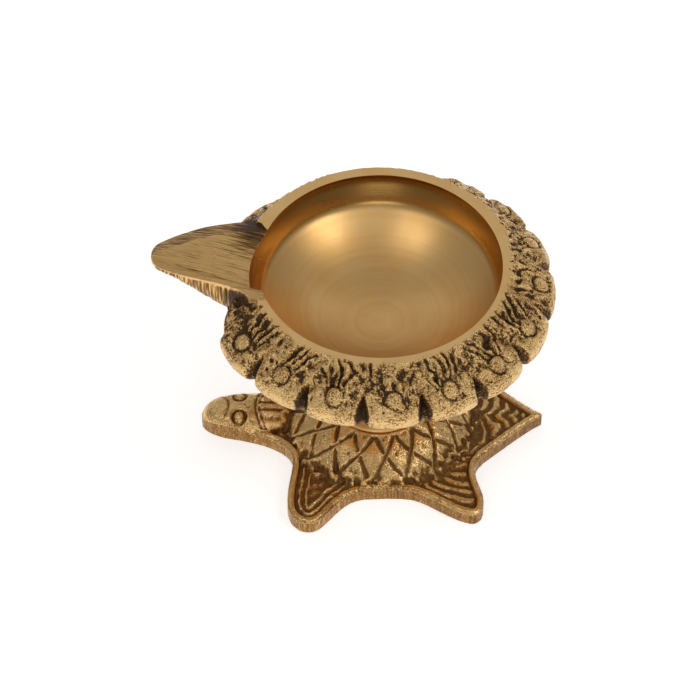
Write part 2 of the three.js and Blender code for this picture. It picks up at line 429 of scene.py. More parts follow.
class Finish:
    """One procedural brass finish: a material and short words for its nodes."""

    def __init__(self, name):
        self.material = bpy.data.materials.new(name)
        self.material.use_nodes = True
        self.tree = self.material.node_tree
        self.shader = self.tree.nodes["Principled BSDF"]
        self.shader.inputs["Metallic"].default_value = 1.0
        self.place = self.add("ShaderNodeTexCoord", {}, {}, "Object")

    def add(self, kind, settings, inputs, output=0):
        inputs = {key: value.socket if isinstance(value, Wire) else value
                  for key, value in inputs.items()}
        return Wire(self, add_node(self.tree, kind, settings, inputs).outputs[output])

    def feed(self, socket, wire):
        self.tree.links.new(wire.socket, self.shader.inputs[socket])

    def stretched(self, x, y, z, turn=0.0):
        """Object coordinates about the stem's axis, scaled for grain that runs one way."""
        centred = self.add("ShaderNodeVectorMath", {"operation": "SUBTRACT"}, {
            0: self.place, 1: (AXIS.x * MM, 0.0, 0.0)}, "Vector")
        return self.add("ShaderNodeMapping", {"vector_type": "TEXTURE"}, {
            "Vector": centred, "Rotation": (0, 0, turn), "Scale": (1 / x, 1 / y, 1 / z)},
            "Vector")

    def speckle(self, size, detail=2.0, place=None, rough=0.5):
        """Noise from 0 to 1 with features about size metres across."""
        return self.add("ShaderNodeTexNoise", {}, {
            "Vector": place or self.place, "Scale": 1 / size if not place else 1.0,
            "Detail": detail, "Roughness": rough}, "Fac")

    def cells(self, size):
        """Distance to the nearest of scattered points, about size metres apart."""
        return self.add("ShaderNodeTexVoronoi", {"feature": "F1"}, {
            "Vector": self.place, "Scale": 1 / size}, "Distance")

    def between(self, low, high, wire):
        """0 below low, 1 above high, and smooth between."""
        return self.add("ShaderNodeMapRange", {"interpolation_type": "SMOOTHSTEP"}, {
            "Value": wire, "From Min": low, "From Max": high}, "Result")

    def mix(self, factor, a, b):
        """Colour a where factor is 0 and b where it is 1."""
        return self.add("ShaderNodeMix", {"data_type": "RGBA"}, {"Factor": factor, 6: a, 7: b}, 2)

    def attribute(self, name):
        return self.add("ShaderNodeAttribute", {"attribute_name": name}, {}, "Fac")

    def radius(self):
        """Distance from the stem's axis, in metres."""
        flat = self.add("ShaderNodeVectorMath", {"operation": "MULTIPLY"}, {
            0: self.stretched(1.0, 1.0, 1.0), 1: (1.0, 1.0, 0.0)})
        return self.add("ShaderNodeVectorMath", {"operation": "LENGTH"}, {0: flat}, "Value")

    def bump(self, height, distance, strength=1.0, under=None):
        inputs = {"Height": height, "Distance": distance, "Strength": strength}
        if under:
            inputs["Normal"] = under
        return self.add("ShaderNodeBump", {}, inputs)


CAST_BROWN = (0.42, 0.205, 0.050)
SPOUT_BROWN_AND_SHADE = (0.34, 0.18, 0.055)
LATHE_LINE = 0.00035
FLOOR_GLOW = 0.60


def tinted(colour, *factors):
    """An opaque colour, each of its three parts scaled by its factor if any are given."""
    return (*(part * factor for part, factor in zip(colour, factors or (1, 1, 1))), 1.0)


def turned_finish(name="turned_brass", roughness=0.28):
    """Brass off the lathe: bright, with fine concentric lines and a few deeper ones."""
    brass = Finish(name)
    radius = brass.radius()
    level = brass.add("ShaderNodeSeparateXYZ", {}, {0: brass.place}, "Z")
    across = brass.add("ShaderNodeCombineXYZ", {}, {
        "X": radius * (1 / LATHE_LINE), "Y": level * (1 / LATHE_LINE), "Z": 0.0})
    lines = brass.speckle(1.0, 3.0, place=across, rough=0.65)
    wide = brass.speckle(1.0, 1.0, place=brass.add(
        "ShaderNodeCombineXYZ", {}, {"X": radius * 700.0, "Y": level * 500.0, "Z": 0.0}))
    cloud = brass.speckle(0.012, 3.0)
    bright = colours().turned
    tint = brass.mix(brass.between(0.35, 0.7, cloud * 0.6 + wide * 0.4),
                     tinted(bright), tinted(bright, 0.94, 0.86, 0.74))
    # Painted shade: the bowl's inner wall is darkened from the crease at its foot upwards, and
    # darkest under the rim's overhang.
    wall = brass.between(0.0302, 0.0318, radius)
    shade_under_rim = wall * brass.between(0.0570, 0.0635, level)
    tint = brass.mix(wall, tint, tinted(bright, 0.74, 0.70, 0.56))
    brass.feed("Base Color", brass.mix(shade_under_rim, tint, tinted(bright, 0.36, 0.27, 0.14)))
    brass.feed("Roughness", roughness + 0.10 * cloud + 0.08 * lines - 0.08 * wall)
    brass.feed("Normal", brass.bump(lines + 0.18 * wide, 0.00001, 0.5))
    return brass.material


def ground_finish():
    """The rim's flat, ground on a belt: satin, with long straight scratches."""
    brass = Finish("ground_brass")
    scratches = brass.speckle(1.0, 3.0, place=brass.stretched(500.0, 4000.0, 1500.0), rough=0.7)
    cloud = brass.speckle(0.006, 3.0)
    edge = brass.attribute("patina")
    tint = brass.mix(brass.between(0.3, 0.75, cloud), tinted(colours().cast),
                     tinted(colours().turned))
    tint = brass.mix((edge * 0.6).clamped(), tint, tinted(colours().patina))
    brass.feed("Base Color", tint)
    brass.feed("Roughness", 0.36 + 0.16 * scratches)
    brass.feed("Normal", brass.bump(scratches, 0.00002, 0.5))
    return brass.material


def cast_finish(name, darkness=1.0, filed=False):
    """Sand-cast brass rubbed bright on its high places, with patina in its hollows and pits."""
    brass = Finish(name)
    hollow = brass.attribute("patina")
    fine = brass.speckle(0.00048, 3.0, rough=0.6)
    coarse = brass.speckle(0.004, 3.0)
    patchy = brass.between(0.34, 0.62, brass.speckle(0.0045, 2.0))
    base = (hollow * 0.95 + 0.25 * (coarse - 0.5)).clamped()
    level = 0.36 + 0.07 * patchy * darkness + 0.22 * base
    stipple = 1 - brass.between(-0.045, 0.045, fine - level)
    pit = (1 - brass.between(0.14, 0.36, brass.cells(0.0010))) * patchy * min(darkness, 1)
    pitted = stipple.most(pit)
    dark_share = (base * 0.48 + pitted * (0.62 + 0.20 * base) * darkness).clamped()
    if filed:
        side = brass.between(0.35, 0.75, brass.attribute("side"))
        marks = brass.speckle(1.0, 3.0, place=brass.stretched(2600.0, 2600.0, 160.0), rough=0.6)
        dark_share = (dark_share + side * 1.1 * (0.55 - marks)).clamped()
    rubbed = brass.mix(brass.between(0.35, 0.68, coarse * 0.5 + fine * 0.5),
                       tinted(colours().cast), tinted(colours().cast, 0.84, 0.78, 0.70))
    tone = brass.mix(brass.between(0.05, 0.55, dark_share), rubbed, tinted(CAST_BROWN))
    tone = brass.mix(brass.between(0.50, 1.0, dark_share), tone, tinted(colours().patina))
    brass.feed("Base Color", tone)
    brass.feed("Roughness", (0.20 + 0.22 * dark_share + 0.06 * fine).clamped())
    brass.feed("Metallic", 1 - 0.35 * brass.between(0.6, 1.0, dark_share))
    relief = brass.bump(fine * 0.6 + coarse * 0.4, 0.00050 * darkness, 1.0)
    brass.feed("Normal", brass.bump(1 - pitted, 0.00022, 1.0, relief))
    return brass.material


def filed_finish():
    """The spout, shaped with a file: long scratches along the trough, and painted shade on its far
    bevel and at its root.
    """
    brass = Finish("filed_brass")
    # The darkening kept per point: patina, and painted shade on the bevel and at the root.
    hollow = brass.attribute("patina")
    slant = math.radians(-14)
    along = brass.speckle(1.0, 4.0, place=brass.stretched(110.0, 2300.0, 700.0, slant), rough=0.7)
    upright = brass.speckle(1.0, 3.0, place=brass.stretched(1900.0, 500.0, 110.0), rough=0.6)
    side = brass.between(0.35, 0.75, brass.attribute("side"))
    grain = along * (1 - side) + upright * side
    patina_shade_and_grain = (hollow + 0.16 + 2.2 * (grain - 0.52) + 0.10 * side).clamped()
    dark_share = brass.between(0.10, 0.95, patina_shade_and_grain)
    tone = brass.mix(brass.between(0.0, 0.55, dark_share), tinted(colours().turned),
                     tinted(SPOUT_BROWN_AND_SHADE))
    tone = brass.mix(brass.between(0.5, 1.0, dark_share), tone, tinted(colours().patina))
    brass.feed("Base Color", tone)
    brass.feed("Roughness", 0.24 + 0.14 * grain + 0.16 * dark_share)
    brass.feed("Metallic", 1 - 0.35 * brass.between(0.6, 1.0, dark_share))
    brass.feed("Normal", brass.bump(grain, 0.00060, 1.0))
    return brass.material


def floor_finish():
    matte = Finish("studio_floor")
    for socket, value in {
            "Metallic": 0.0, "Roughness": 0.6, "Specular IOR Level": 0.2,
            "Base Color": tinted(colours().floor), "Emission Color": (1, 1, 1, 1),
            "Emission Strength": FLOOR_GLOW}.items():
        matte.shader.inputs[socket].default_value = value
    return matte.material


# ------------------------------------------------------------------ the bowl's shape

RIM = BOWL_HIGH.z
MOUTH = 32.0
BOSS_RADIUS = 9.0
LIP_TOP = RIM - 8.6
LIP_BOTTOM = RIM - 12.0
SLOPE_START = 34.0
SKIRT_START = 31
SKIRT_COLUMNS = 900
REAR_DROOP = 4.2
REAR_DRAW = 0.8
FAR_SIDE_DROOP = 2.4
FAR_SIDE_DRAW = 1.8
BAY_REACH = 3.0
BAY_SPREAD = 0.72
FLOOR_MIDDLE = 44.0
FLOOR_DISH = 0.01046
FLOOR_STEEPENING = 2.11e-6
CREASE_RADIUS = 31.0
SPOUT_TIP = -60.35
ROSETTE_RADIUS = 42.2
ROSETTE_GROOVE = 2.35
FACE_SECTION = ((0.10, 0.14), (0.24, 0.0), (0.42, 0.0), (0.62, 0.0), (0.82, 0.12), (1.0, 0.6))

# Height of the ornamented slope above the lip's top edge, from the rim outwards.
slope_height = curve_through([
    (30, RIM + 4.5), (33.0, RIM + 1.9), (34.6, RIM + 0.1), (36.5, RIM - 1.7),
    (39.5, RIM - 3.7), (43, RIM - 5.7), (45.2, RIM - 7.3), (46.6, LIP_TOP)])

# The spout's plan and section, from its tip at 0 to the rim at 1.
near_width = curve_through([
    (0, 0), (0.12, 2.1), (0.26, 4.3), (0.46, 6.1), (0.62, 7.5), (0.75, 8.6), (0.88, 10.1),
    (0.96, 11.9), (1.0, 13.8), (1.1, 15.0)])
far_width = curve_through([
    (0, 0), (0.12, 2.4), (0.26, 5.0), (0.41, 7.3), (0.57, 9.7), (0.71, 11.9), (0.90, 14.0),
    (1.0, 15.2), (1.1, 15.6)])
crease_place = curve_through([
    (0, 0), (0.2, 1.0), (0.48, 3.2), (0.65, 5.9), (0.84, 8.5), (1.0, 10.3), (1.1, 11.0)])
valley_place = curve_through([
    (0, -0.3), (0.3, -1.4), (0.62, -3.8), (0.82, -6.0), (0.96, -7.4), (1.1, -8.6)])
keel_depth = curve_through([
    (0, 1.8), (0.45, 3.4), (0.6, 6.2), (0.714, 9.4), (0.85, 12.6), (1.0, 14.4), (1.2, 15.0)])
trough_depth = curve_through([
    (0, 0.0), (0.3, 0.25), (0.6, 0.9), (0.8, 1.8), (1.0, 3.0), (1.2, 3.6)])


def droop(angle):
    """How far the lip hangs below its height in front: most behind, and by the spout's far side."""
    return REAR_DROOP * rearward(angle) + FAR_SIDE_DROOP * beside(angle, 134, 0.55)


def hang(radius):
    """The share of the droop at a radius: none on the rim, all of it well before the lip."""
    return smoothstep(SLOPE_START, SLOPE_START + 8.5, radius)


def lobe_place(angle):
    """Which lobe an angle falls in, and where across it: -1 and 1 are its notches."""
    pitch = sizes().lobe_pitch
    last = sizes().lobes // 2
    signed = (angle + math.pi) % FULL_TURN - math.pi
    lobe = np.clip(np.round(signed / pitch), -last, last)
    return lobe.astype(int), (signed - lobe * pitch) / (pitch / 2)


def lip_radius(angle):
    """The scalloped outline: round lobes, notches between them, and a gap for the spout."""
    _, across = lobe_place(angle)
    lip = sizes().lip_radius / MM - REAR_DRAW * rearward(angle)
    lip = lip - FAR_SIDE_DRAW * beside(angle, 138, 0.40)
    inside = np.minimum(np.abs(across), 1)
    scallop = 1.3 * inside ** 3 + 1.3 * smoothstep(0.74, 1.0, inside)
    return lip - scallop - 7.0 * smoothstep(1.0, 2.6, np.abs(across))


def slope_relief(radius, angle):
    """The slope's ornament: a ring on each lobe and a fan of plumes from it to the rim."""
    lobe, across = lobe_place(angle)
    half = sizes().lobe_pitch / 2
    lip = lip_radius(angle)
    place = polar(radius, angle)
    on_lobe = np.abs(across) <= 1
    wobble = np.sin(lobe * 2.4 + 0.7)
    shift = np.sin(lobe * 5.1)
    doming = 0.6 * (1 - np.minimum(np.abs(across), 1) ** 2) * smoothstep(37, 44, radius)

    sideways = (across * half) * ROSETTE_RADIUS + 0.3 * shift
    outwards = radius - ROSETTE_RADIUS - 0.2 * wobble
    rosette = np.hypot(sideways, outwards) + 0.2 * noise(place, 2.2, 10)
    depth = 0.50 + 0.22 * noise(place, 2.6, 11)
    ring = -depth * bell(rosette - ROSETTE_GROOVE, 0.42) * on_lobe
    off_ring = smoothstep(ROSETTE_GROOVE - 0.4, ROSETTE_GROOVE + 0.6, rosette)

    upward = np.clip((ROSETTE_RADIUS - radius) / (ROSETTE_RADIUS - 34.5), 0, 1.2)
    fan = across / (0.36 + 0.60 * upward)
    bend = 0.5 * wobble * upward ** 2 + 0.30 * noise(place, 3.6, 3) + 0.16 * noise(place, 1.5, 4)
    stripe = (fan + bend) * 1.9 + 0.5 * (lobe % 2)
    to_groove = np.abs(stripe - np.round(stripe))
    strength = smoothstep(-0.55, 0.55, noise(place, 3.2, 5))
    zone = smoothstep(1.0, 2.4, ROSETTE_RADIUS - radius) * smoothstep(1.2, 0.8, np.abs(fan))
    ridges = 1.1 * smoothstep(0.0, 0.45, to_groove) - 0.4
    plumes = ridges * (0.35 + 0.85 * strength) * zone * on_lobe
    lumps = 0.60 * noise(place, 2.6, 6) + 0.34 * noise(place, 1.3, 2)

    to_notch = np.abs(np.abs(across) - 1) * half * radius
    seam = -0.5 * bell(to_notch, 0.8) * smoothstep(35, 43, radius)
    pocket_width = np.clip(radius - (lip - BAY_REACH), 0, None) * BAY_SPREAD
    seam = seam - 3.4 * smoothstep(-0.1, 0.5, pocket_width - to_notch) * (pocket_width > 0)
    ragged = smoothstep(34, 36, radius) * smoothstep(lip - 0.2, lip - 1.4, radius) * off_ring
    worn_edge = 1 - 0.85 * rearward(angle) * smoothstep(38.5, 36.5, radius)
    casting = 0.20 * noise(place, 1.1, 7) + 0.18 * noise(place, 0.7, 8)
    holes = 0.30 * pits(place, 0.8, 0.20, 9) + 0.22 * pits(place, 0.62, 0.18, 13)
    texture = (lumps + casting - holes) * ragged + plumes * off_ring
    ornament = doming + ring + seam + texture * worn_edge
    return ornament * (1 - beside(angle, 155, 0.14))


# How much higher or lower the casting stands, by degrees round it, so that its rim is ground
# wide or narrow.
rim_rise = curve_through([
    (-180, -0.6), (-150, -0.6), (-90, -0.75), (-40, -1.1), (-5, -0.8), (20, 0.5), (38, 1.2),
    (60, 0.8), (90, 0.7), (138, 0.9), (155, 2.0), (172, 0.2), (180, -0.6)])


def skirt():
    """The ring of the casting that carries the rim's flat, the ornament and the scalloped lip."""
    angle = round_angles(SKIRT_COLUMNS)[None, :]
    lip = lip_radius(angle)
    to_lip = 60
    share = np.linspace(0, 1, to_lip)[:, None]
    radius = SKIRT_START + (lip - 0.4 - SKIRT_START) * share
    place = polar(radius, angle)
    drop = droop(angle)
    free = slope_height(radius) + slope_relief(radius, angle)
    around = (np.degrees(angle) + 180) % 360 - 180
    free = free + rim_rise(around) * smoothstep(40, 33, radius) - drop * hang(radius)
    free = free - 0.45 * smoothstep(lip - 1.5, lip - 0.2, radius) ** 2
    top = np.minimum(free, RIM + 0.02 * noise(place, 2.5, 21))
    face_top = top[-1:]
    face_bottom = LIP_BOTTOM - drop
    face = []
    for part, inset in FACE_SECTION:
        height = face_top + (face_bottom - face_top) * part
        pitting = polar(lip, angle, height)
        dent = 0.10 * noise(pitting, 1.3, 31) + 0.16 * pits(pitting, 0.8, 0.10, 32)
        face.append((lip - inset - dent * (part < 0.9), height))
    under = [(lip - 2.2, 0 * lip + LIP_BOTTOM + 0.6 - drop * 0.85)]
    for reach, rise in ((40.8, 9.4), (39.0, 8.8), (37.0, 8.4), (SKIRT_START, 8.4)):
        under.append((reach + 0 * lip, RIM - rise - drop * hang(reach)))
    radii = np.concatenate([radius] + [r for r, _ in face + under])
    heights = np.concatenate([top] + [z for _, z in face + under])
    darkening = np.full(heights.shape, 0.45)
    darkening[:to_lip] = skirt_patina(radius, angle, place, top)
    darkening[to_lip:to_lip + len(face)] = 0.05 + 0.75 * notch_share(angle)
    return wrapped_grid("skirt", polar(radii, angle, heights), cast_finish("cast_brass"), darkening,
                        loop=True, turn=BOWL_TURN)


def notch_share(angle):
    """1 in the bays between lobes, 0 along them."""
    _, across = lobe_place(angle)
    return smoothstep(0.74, 0.86, np.abs(across)) * (np.abs(across) < 1.12)


def skirt_patina(radius, angle, place, top):
    """Where the ornament has kept its patina: in its hollows, at the right and in front."""
    lip = lip_radius(angle)
    dips = hollowness(top, 2) / 0.50 + hollowness(top, 6) / 1.8
    dips = dips * smoothstep(lip - 0.6, lip - 1.8, radius)
    facing_right = smoothstep(-0.2, 0.9, np.cos(angle + 0.1))
    in_front = bell(np.cos(angle) - 0.05, 0.22) * (np.sin(angle) < 0)
    above_rings = smoothstep(34.5, 35.5, radius) * smoothstep(43.0, 39.5, radius)
    cloud = np.clip(0.5 + 0.8 * noise(place, 3.4, 22), 0, 1)
    tarnish = (0.06 + 0.30 * facing_right + 0.30 * in_front) * above_rings * cloud
    near_spout = 0.60 * smoothstep(0.60, 0.95, -np.cos(angle)) * smoothstep(34, 36, radius)
    to_notch = np.abs(np.abs(lobe_place(angle)[1]) - 1) * sizes().lobe_pitch / 2 * radius
    bays = 0.95 * smoothstep(
        -0.3, 0.3, (radius - (lip - BAY_REACH)) * BAY_SPREAD - to_notch)
    bays = bays * (notch_share(angle) > 0)
    return np.where(top > RIM - 0.06, 0, np.maximum(dips + tarnish + near_spout, bays))


def spout_place(share):
    """Distance along X from the stem's axis, from the tip at 0 to the rim at 1."""
    return SPOUT_TIP + (-33 - SPOUT_TIP) * share ** 2


def spout_top(share, y):
    """Height of the spout's top: a bevel on the far side, a trough and a strip on the near side."""
    crease, valley = crease_place(share), valley_place(share)
    near, far = near_width(share), far_width(share)
    depth = trough_depth(share)
    level = RIM + 0.03 - 0.5 * smoothstep(0.22, 0.0, share)
    outer = np.clip((y - crease) / np.maximum(far - crease, 0.3), 0, 1)
    bevel = (1.3 * outer + 0.25 * (outer > 0)) * smoothstep(0, 0.4, share)
    down = np.clip((crease - y) / np.maximum(crease - valley, 0.3), 0, 1)
    up = np.clip((valley - y) / np.maximum(near + valley, 0.3), 0, 1)
    ridge = 0.10 * bell(y - crease, 0.35) * smoothstep(0.3, 0.6, share)
    dish = depth * down ** 0.9 * (1 - smoothstep(0.0, 0.5, up)) + 0.10 * smoothstep(0.5, 0.3, up)
    return level - np.where(y > crease, bevel, dish * (y <= crease)) + ridge


def far_end(share):
    """The far side of what the spout takes out of the rim, closing in a round wedge."""
    crease, far = crease_place(share), far_width(share)
    over = np.clip((share - 0.84) / 0.20, 0, 1)
    return crease + (far - crease) * np.sqrt(1 - over ** 2)


def spout():
    """A leaf-shaped trough over a deep keel, from inside the bowl's wall out to a round tip."""
    share = np.linspace(0.03, 1.06, 125)[:, None]
    x = spout_place(share)
    near, far = near_width(share), far_width(share)
    t = np.linspace(0, 1, 52)[None, :]
    y = far - (far + near) * t
    fanned = spatial(0.10 * x, y + 0.16 * x)
    streaks = noise(fanned * (1, 1.5, 1), 1.0, 41) + 0.7 * noise(fanned * (2, 3.2, 1), 1.0, 42)
    middle = smoothstep(0.0, 0.04, t) * smoothstep(1.0, 0.96, t)
    top = spout_top(share, y) + 0.05 * streaks * middle * smoothstep(0.1, 0.4, share)
    turn = np.linspace(0, math.pi, 46)[None, 1:-1]
    lateral = -np.cos(turn)
    flare = 1 + 0.24 * smoothstep(0.6, 1.0, share) * np.sin(turn) * (lateral < 0)
    reach = np.abs(lateral) ** 0.7 * np.where(lateral < 0, -near, far) * flare
    edge = np.where(lateral > 0, top[:, :1], top[:, -1:]) - 0.12
    below = edge - keel_depth(share) * np.sin(turn) ** 0.75
    filing = spatial(x + 0.15 * below, 0.0)
    marks = 0.14 * noise(filing * 1.8, 1.0, 43) + 0.06 * noise(filing * 3.6, 1.0, 44)
    reach = reach * (1 - marks * np.sin(turn) ** 0.5 / 5.0)
    grid = np.concatenate([spatial(x, y, top), spatial(x, reach, below)], 1)

    crease = crease_place(share)
    root = smoothstep(0.84, 1.0, share)
    on_bevel = smoothstep(-0.3, 0.3, y - crease)
    # Painted shade: the far bevel is darkened, most towards the root, and so is the trough's far
    # side near the root. The trough is also darker along its valley and at the tip.
    top_darkening = (
        0.34 * on_bevel + 0.62 * on_bevel * root
        + (1 - on_bevel) * 0.62 * smoothstep(0.80, 0.98, share) * smoothstep(-3, 6, y - 2)
        + 0.30 * bell(y - valley_place(share), 0.8) * smoothstep(0.4, 0.7, share)
        + 0.7 * smoothstep(0.10, 0.03, share))
    # The keel is darker towards the root and on its far side.
    hull_darkening = 0.26 + 0.75 * smoothstep(0.80, 0.97, share) + 0.25 * (lateral > 0)
    darkening = np.concatenate([top_darkening, hull_darkening], 1)
    side = np.concatenate([0 * y, 1 + 0 * below], 1)
    piece = wrapped_grid("spout", grid, filed_finish(), darkening, turn=BOWL_TURN)
    mark(piece, "side", np.concatenate([side.ravel(), [1, 1]]))
    return piece


def spout_clearance():
    """What is cut off the ring so that the spout's trough runs on through the rim."""
    share = np.linspace(0.1, 1.12, 40)[:, None]
    near, far = 0.97 * near_width(share), 0.99 * far_end(share)
    y = far - (far + near) * np.linspace(0, 1, 40)[None, :]
    low = spatial(spout_place(share), y, spout_top(share, y) - 0.3)
    high = low[:, ::-1].copy()
    high[..., 2] = RIM + 5
    grid = np.concatenate([low, high], 1)
    return wrapped_grid("clearance", grid, cast_finish("cut"), turn=BOWL_TURN)


def floor_height(radius):
    """The dished floor of the bowl, level in the middle and steep where it meets the wall."""
    return FLOOR_MIDDLE + FLOOR_DISH * radius ** 2 + FLOOR_STEEPENING * radius ** 4


def bowl_casting():
    """The whole casting in one closed mesh."""
    body = turned("bowl_casting", [
        (0.4, BOWL_LOW.z), (BOSS_RADIUS, BOWL_LOW.z), (BOSS_RADIUS, BOWL_LOW.z + 2.6), (10.6, 41.0),
        (16, 41.6), (21, 42.9), (25, 44.8), (28.4, 47), (31.4, 49.6), (33.9, 52.4),
        (35.8, 55.4), (36.6, 57.4), (36.6, 60.5), (0.4, 60.5)],
        cast_finish("cast_underside", darkness=0.8), 144, 1.1, patina=0.22)
    combine(body, skirt(), "UNION")
    combine(body, spout_clearance(), "DIFFERENCE")
    combine(body, spout(), "UNION")
    dish = [(r, floor_height(r)) for r in range(2, 31, 2)]
    line = [(r, floor_height(r) - dip) for r, dip in ((11.2, 0), (11.4, 0.03), (11.6, 0))]
    cavity = turned("cavity", [
        (0.4, FLOOR_MIDDLE), *sorted(dish + line), (CREASE_RADIUS, 56.0), (31.7, 56.9),
        (32.4, 58.6), (33.4, 60.6), (34.4, 62.4), (34.8, 63.6), (34.3, 65.0), (33.2, 66.0),
        (MOUTH, 66.45), (MOUTH, 66.85), (32.25, 67.2), (32.25, 70), (0.4, 70)],
        turned_finish(), 288, 0.55, fillet=0.3)
    combine(body, cavity, "DIFFERENCE")
    bore = turned("bore", [(0.2, 36), (3, 36), (3, 41), (0.2, 41)], cast_finish("bore"), 48, 0.6,
                  fillet=0.1)
    combine(body, bore, "DIFFERENCE")
    return body


def sort_finishes(piece):
    """Gives the rim's ground flat its own finish."""
    mesh = piece.data
    mesh.materials.append(ground_finish())
    flat = len(mesh.materials) - 1
    cast = next(i for i, m in enumerate(mesh.materials) if m.name.startswith("cast_brass"))
    for face in mesh.polygons:
        level = face.center.z > (RIM - 0.07) * MM and face.normal.z > 0.9
        if level and face.material_index == cast:
            face.material_index = flat


# ------------------------------------------------------------------ the tortoise's shape

PLATE_TOP = 4.9
SEAT = BASE_HIGH.z
SEAT_RADIUS = 14.3
HOLE_RADIUS = 3.3
CEILING = WASHER_HIGH.z + 0.2

shell_height = curve_through([
    (0.0, SEAT), (0.53, SEAT), (0.60, 12.3), (0.72, 10.9), (0.84, 8.9), (0.93, 6.9), (1.0, 5.2),
    (1.06, 4.2), (1.2, 3.4), (3.0, 3.4)])


def bezier(start, *segments):
    """Points along joined cubic curves, each given by two handles and its end."""
    points = [np.array([start], float)]
    for handle_a, handle_b, end in segments:
        t = np.linspace(0, 1, 40)[1:, None]
        a, b, c, d = (np.array(p, float) for p in (start, handle_a, handle_b, end))
        points.append((1 - t) ** 3 * a + 3 * t * (1 - t) ** 2 * b
                      + 3 * t * t * (1 - t) * c + t ** 3 * d)
        start = end
    return np.concatenate(points)


def tortoise_outline(count):
    """Evenly spaced points round the animal, from its tail anticlockwise."""
    side = bezier(
        (-49.2, 0.3),
        ((-49.2, -2.6), (-45.5, -4.6), (-40, -5.6)), ((-34, -6.9), (-24, -9.6), (-23.6, -16)),
        ((-23.6, -21), (-25.2, -25), (-24.9, -31)), ((-24.6, -37), (-19, -40), (-15.5, -36)),
        ((-11, -31), (-9, -26.9), (-3, -26.6)), ((1, -26.4), (5, -26.1), (9, -26.8)),
        ((14, -28.2), (19, -33.4), (24.5, -34.8)), ((28, -35.6), (29.4, -31), (27.6, -26)),
        ((26, -21), (25.4, -17.6), (29, -14)), ((34, -9.5), (39, -4.9), (43.6, -1.5)),
        ((44.9, -0.7), (45.5, -0.4), (45.5, 0)))
    far = side[-2:0:-1] * (1, -1)
    far[:, 1] += 1.6 * smoothstep(-30, -40, far[:, 0]) * smoothstep(-49.4, -46, far[:, 0])
    whole = np.concatenate([side, far])
    closed = np.concatenate([whole, whole[:1]])
    along = np.concatenate([[0], np.cumsum(np.linalg.norm(np.diff(closed, axis=0), axis=1))])
    even = np.linspace(0, along[-1], count, endpoint=False)
    return np.stack([np.interp(even, along, closed[:, k]) for k in (0, 1)], -1)


def distance_inside(places, outline):
    """How far each place is from the outline."""
    flat = places.reshape(-1, 2)
    nearest = [np.sqrt(((part[:, None] - outline[None, ::2]) ** 2).sum(-1).min(1))
               for part in np.array_split(flat, 60)]
    return np.concatenate(nearest).reshape(places.shape[:-1])


def lattice(x, y, place):
    """Diamond grooves that spiral both ways down the shell; one slant is chased in dashes."""
    radius = np.hypot(x, y * 1.05)
    angle = np.arctan2(y * 1.05, x)
    turns = sizes().shell_grooves
    lean = 0.31 * turns / 9
    wander = 0.35 * noise(place, 6.0, 51)
    total = 0 * x
    for slant, dashed in ((1, False), (-1, True)):
        phase = (turns * angle + slant * lean * (radius - 20) + wander) / FULL_TURN
        across = (phase - np.round(phase)) * FULL_TURN / np.hypot(turns / radius, lean)
        other = (turns * angle - slant * lean * (radius - 20)) / FULL_TURN
        dash = np.abs(other - np.round(other)) * 2
        depth = 0.85 if not dashed else 0.95 * smoothstep(0.06, 0.30, dash)
        width = 0.56 + 0.08 * noise(place, 3.0, 52) + (0.16 * dash if dashed else 0)
        uneven = 0.85 + 0.3 * noise(place, 4.0, 53)
        total = np.minimum(total, -depth * bell(across, width) * uneven)
    return total


def feather(x, y, edge, place):
    """The chased lines on the flippers and tail."""
    rear = (x > 8) & (np.abs(y) > 14)
    front = (x < -8) & (np.abs(y) > 14)
    tail = (x > 24) & (np.abs(y) < 14)
    inside = smoothstep(2.1, 2.7, edge)
    warp = 0.9 * noise(place, 3.4, 54) + 0.4 * noise(place, 1.6, 55)
    strokes = np.sin((np.abs(y) * 0.9 - x * 0.34 + 0.030 * (x - 20) ** 2) * 2.4 + warp)
    veins = np.sin((x - 0.75 * np.abs(y) + 0.07 * y * y) * 1.9 + 2.4 * warp)
    loops = bell(edge - 3.3 + 0.3 * warp, 0.42) + bell(edge - 5.2 + 0.4 * warp, 0.42)
    rib = np.sin(np.abs(y) * 2.0 + 0.9 * x + warp)
    cut = np.where(rear, 0.30 * strokes, 0) + np.where(tail, 0.30 * veins, 0)
    cut = cut + np.where(front, 0.60 * loops + 0.12 * rib, 0)
    return cut * inside


def head_height(x, y):
    """A blunt rounded head, higher than the flippers, with ringed eyes and a ridged neck."""
    lengthways, sideways = np.abs((x + 35.2) / 14.4), np.abs(y / 7.1)
    body = 1 - np.clip(lengthways, 0, 1) ** 2.6 - np.clip(sideways, 0, 1) ** 2.4
    crown = 3.0 + 5.7 * np.clip(body, 0, 1) ** 0.5
    neck = smoothstep(-36, -27, x)
    crown = crown - 0.9 * neck * smoothstep(3, 7, np.abs(y))
    for side in (-1, 1):
        eye = np.hypot(x + 38.6, (y - side * 3.5) * 1.05)
        crown = crown - 0.75 * bell(eye - 1.8, 0.38) + 0.30 * smoothstep(1.3, 0.9, eye)
    collar = bell(x + 34.2 - 0.05 * y * y, 0.30) + 0.8 * bell(x + 33.0 - 0.05 * y * y, 0.25)
    brow = bell(x + 41.6 + 0.10 * y * y, 0.35) * (np.abs(y) < 3.6)
    ridges = np.cos(y * FULL_TURN / 2.5) * smoothstep(-33.4, -32.6, x) * smoothstep(-26, -27.5, x)
    return crown + (-0.55 * collar - 0.35 * brow + 0.40 * ridges) * (np.abs(y) < 6.2)


def shell_share(x, y):
    """How far out a place is towards the shell's edge, which is at 1."""
    return np.hypot(x / 26.4, y / 25.2)


